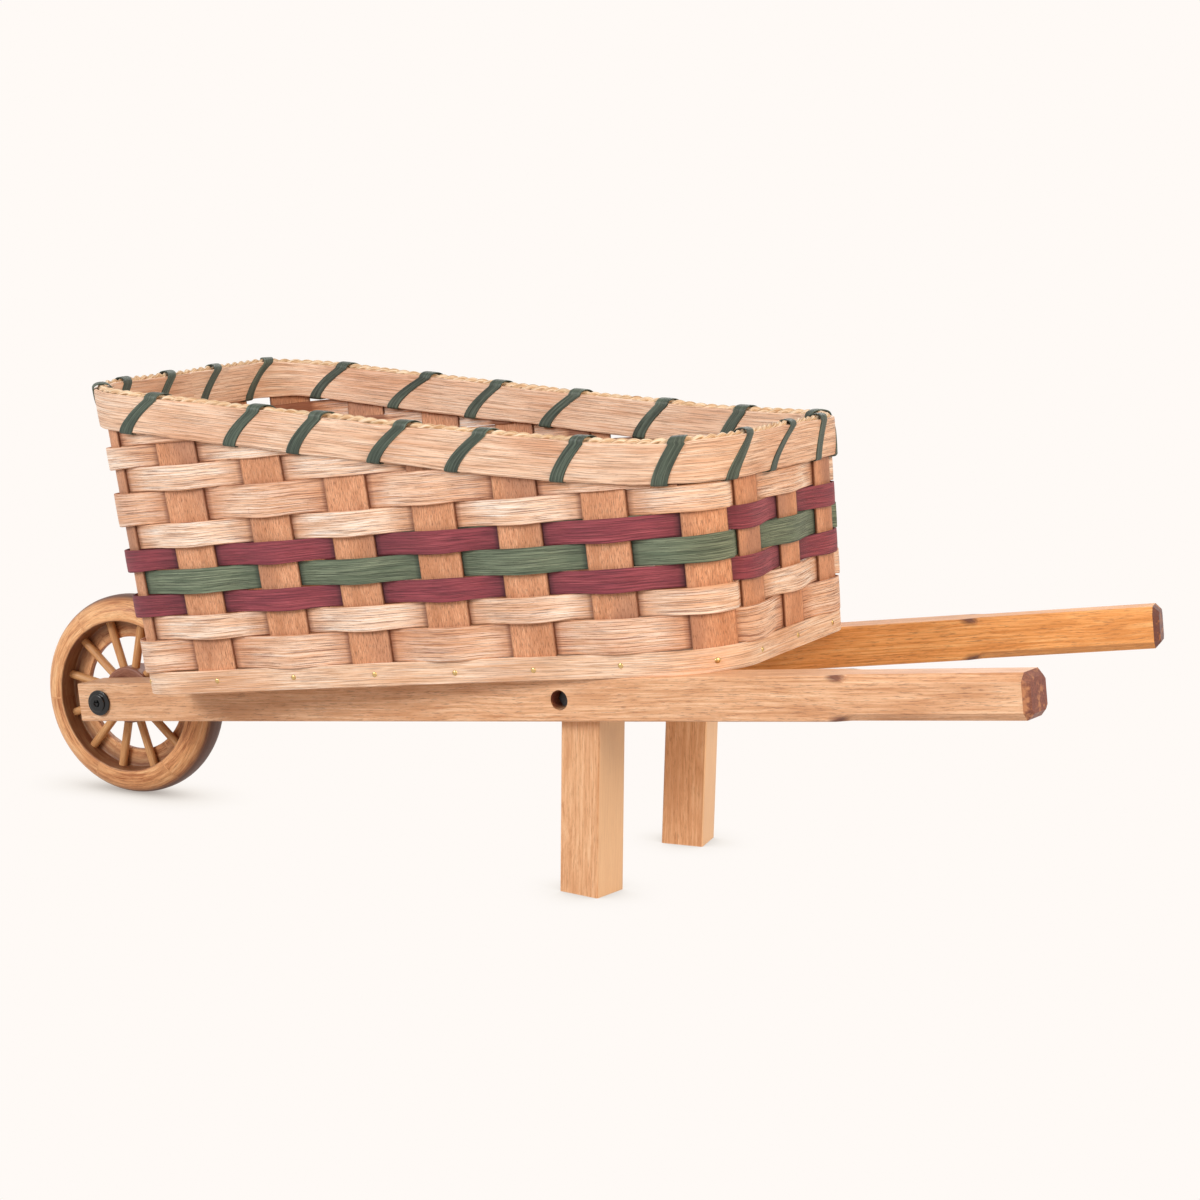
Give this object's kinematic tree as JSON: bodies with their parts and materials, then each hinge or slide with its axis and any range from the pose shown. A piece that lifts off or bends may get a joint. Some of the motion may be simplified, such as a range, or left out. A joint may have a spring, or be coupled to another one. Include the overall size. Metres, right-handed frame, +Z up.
{
  "type": "wheelbarrow planter",
  "caption": "Decorative wheelbarrow planter: a woven splint basket with a lashed rim on two splayed wooden rails, two legs and a spoked wooden wheel that turns on its axle.",
  "frame": {"origin": "on the floor, under the middle of the whole barrow's length", "axes": "+Z up, +X from the wheel towards the handles, -Y the near side, which is the left side seen from the handles looking to the wheel's far side"},
  "size_m": [0.8272, 0.3082, 0.327],
  "materials": {
    "stained_wood": "oil-stained hardwood, satin",
    "wheel_wood": "oil-stained turned hardwood, satin",
    "hub_wood": "oil-stained turned hardwood, satin",
    "spoke_wood": "oil-stained dowel, satin",
    "board_wood": "plain sanded board",
    "natural_splint": "natural flat reed, matt",
    "stake_splint": "fine-grained brown splint, matt",
    "burgundy_splint": "dyed flat reed, matt",
    "green_splint": "dyed flat reed, matt",
    "lashing_reed": "dyed flat oval reed, matt",
    "seagrass_rope": "twisted natural rope, matt",
    "brass_pins": "bright brass",
    "zinc_steel": "zinc-plated steel",
    "black_steel": "black oxide steel, satin"
  },
  "bodies": {
    "barrow": {"near_rail": "stained_wood", "far_rail": "stained_wood", "near_leg": "stained_wood", "far_leg": "stained_wood", "leg_bolts": "zinc_steel", "axle_rod": "zinc_steel", "axle_caps": "black_steel", "basket_board": "board_wood", "board_screws": "zinc_steel", "nail_strip": "natural_splint", "strip_pins": "brass_pins", "outer_rim_band": "natural_splint", "inner_rim_band": "natural_splint", "rim_filler_rope": "seagrass_rope", "rim_lashing": "lashing_reed", "wheel_end_stakes": "stake_splint", "near_side_stakes": "stake_splint", "handle_end_stakes": "stake_splint", "far_side_stakes": "stake_splint", "weaver_row_01": "natural_splint", "weaver_row_02": "natural_splint", "weaver_row_03": "burgundy_splint", "weaver_row_04": "green_splint", "weaver_row_05": "burgundy_splint", "weaver_row_06": "natural_splint", "weaver_row_07": "natural_splint", "weaver_row_08": "natural_splint", "weaver_row_09": "natural_splint", "weaver_row_10": "natural_splint"},
    "wheel": {"wheel_rim": "wheel_wood", "wheel_hub": "hub_wood", "wheel_spokes": "spoke_wood"}
  },
  "joints": [
    {"name": "wheel_spin", "type": "hinge", "parent": "barrow", "child": "wheel", "pos_m": [-0.33759, 0, 0.0762], "axis": [0, 1, 0], "continuous": true}
  ]
}
